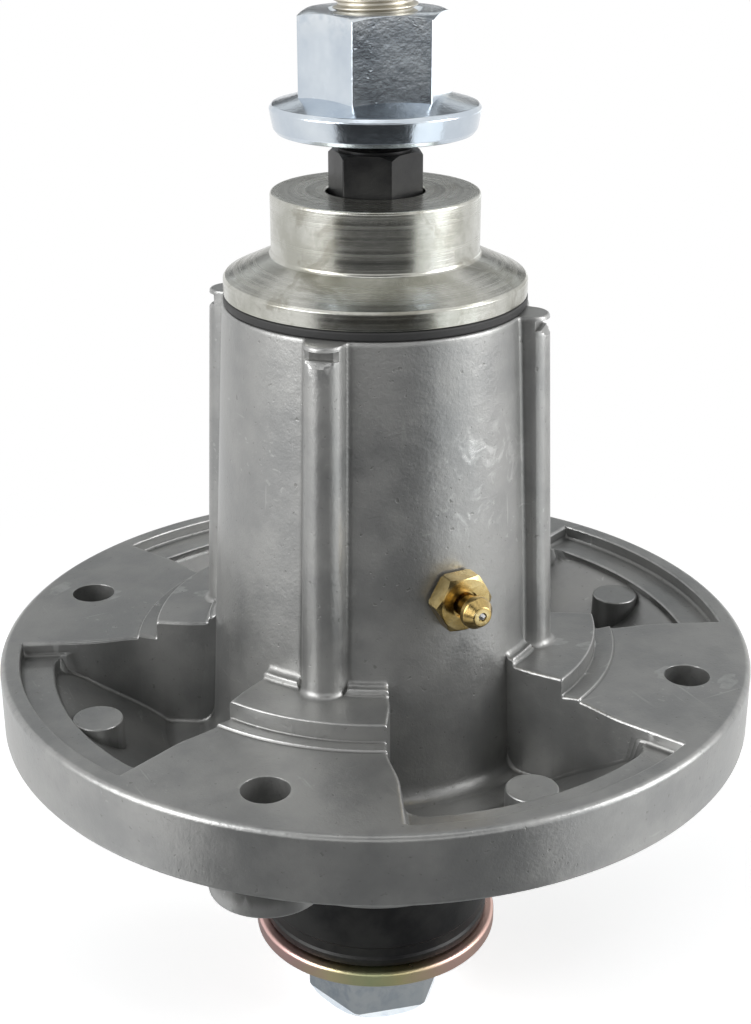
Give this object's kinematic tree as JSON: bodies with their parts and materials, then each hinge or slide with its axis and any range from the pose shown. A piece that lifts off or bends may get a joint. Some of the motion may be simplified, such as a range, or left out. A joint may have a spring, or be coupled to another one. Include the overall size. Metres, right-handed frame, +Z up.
{
  "type": "mower deck blade spindle",
  "caption": "Flanged cast housing with a vertical shaft on sealed ball bearings, a collar and flange nut above for the pulley, and a dished washer and bolt below for the blade.",
  "frame": {"origin": "on the spindle axis at the underside of the blade bolt's head, the lowest point", "axes": "+Z up along the spindle axis from the blade end to the pulley nut; the grease fitting faces -Y; the bolt holes lie on the diagonals between X and Y"},
  "size_m": [0.156, 0.156, 0.2205],
  "materials": {
    "cast_aluminium": "matte as-cast with a fine grain and small nicks",
    "turned_steel": "turned, satin",
    "bright_zinc": "bright bluish zinc plate",
    "yellow_zinc": "yellow iridescent zinc plate",
    "yellow_brass": "bright yellow",
    "black_oxide": "black oxide, oiled",
    "black_rubber": "matte moulded rubber",
    "bearing_steel": "ground and polished",
    "cage_nylon": "natural moulded nylon"
  },
  "bodies": {
    "spindle_housing": {"housing": "cast_aluminium", "grease_fitting": "yellow_brass", "grease_check_spring": "bearing_steel", "lower_bearing_outer_race": "bearing_steel", "lower_bearing_top_seal": "black_rubber", "lower_bearing_bottom_seal": "black_rubber", "upper_bearing_outer_race": "bearing_steel", "upper_bearing_top_seal": "black_rubber", "upper_bearing_bottom_seal": "black_rubber"},
    "rotor": {"spindle_shaft": "black_oxide", "pulley_nut": "bright_zinc", "pulley_collar": "turned_steel", "upper_dust_seal": "black_rubber", "lower_dust_seal": "black_rubber", "bearing_spacer": "turned_steel", "cup_washer": "yellow_zinc", "blade_bolt": "bright_zinc", "lower_bearing_inner_race": "bearing_steel", "upper_bearing_inner_race": "bearing_steel"},
    "lower_ball_set": {"lower_bearing_cage": "cage_nylon", "lower_bearing_ball_1": "bearing_steel", "lower_bearing_ball_2": "bearing_steel", "lower_bearing_ball_3": "bearing_steel", "lower_bearing_ball_4": "bearing_steel", "lower_bearing_ball_5": "bearing_steel", "lower_bearing_ball_6": "bearing_steel", "lower_bearing_ball_7": "bearing_steel", "lower_bearing_ball_8": "bearing_steel", "lower_bearing_ball_9": "bearing_steel"},
    "upper_ball_set": {"upper_bearing_cage": "cage_nylon", "upper_bearing_ball_1": "bearing_steel", "upper_bearing_ball_2": "bearing_steel", "upper_bearing_ball_3": "bearing_steel", "upper_bearing_ball_4": "bearing_steel", "upper_bearing_ball_5": "bearing_steel", "upper_bearing_ball_6": "bearing_steel", "upper_bearing_ball_7": "bearing_steel", "upper_bearing_ball_8": "bearing_steel", "upper_bearing_ball_9": "bearing_steel"},
    "check_ball": {"grease_check_ball": "bearing_steel"}
  },
  "joints": [
    {"name": "shaft_spin", "type": "hinge", "parent": "spindle_housing", "child": "rotor", "pos_m": [0, 0, 0.1], "axis": [0, 0, 1], "continuous": true},
    {"name": "lower_cage_orbit", "type": "hinge", "parent": "spindle_housing", "child": "lower_ball_set", "pos_m": [0, 0, 0.0502], "axis": [0, 0, 1], "continuous": true},
    {"name": "upper_cage_orbit", "type": "hinge", "parent": "spindle_housing", "child": "upper_ball_set", "pos_m": [0, 0, 0.1544], "axis": [0, 0, 1], "continuous": true},
    {"name": "check_ball_lift", "type": "slide", "parent": "spindle_housing", "child": "check_ball", "axis": [0, 1, 0], "range_m": [0, 0.001], "stiffness_N_per_m": 200, "springref_m": -0.0005, "deforming": ["grease_check_spring"]}
  ],
  "couplings": [
    {"joint": "lower_cage_orbit", "follows": "shaft_spin", "ratio": 0.3995},
    {"joint": "upper_cage_orbit", "follows": "shaft_spin", "ratio": 0.3995}
  ]
}
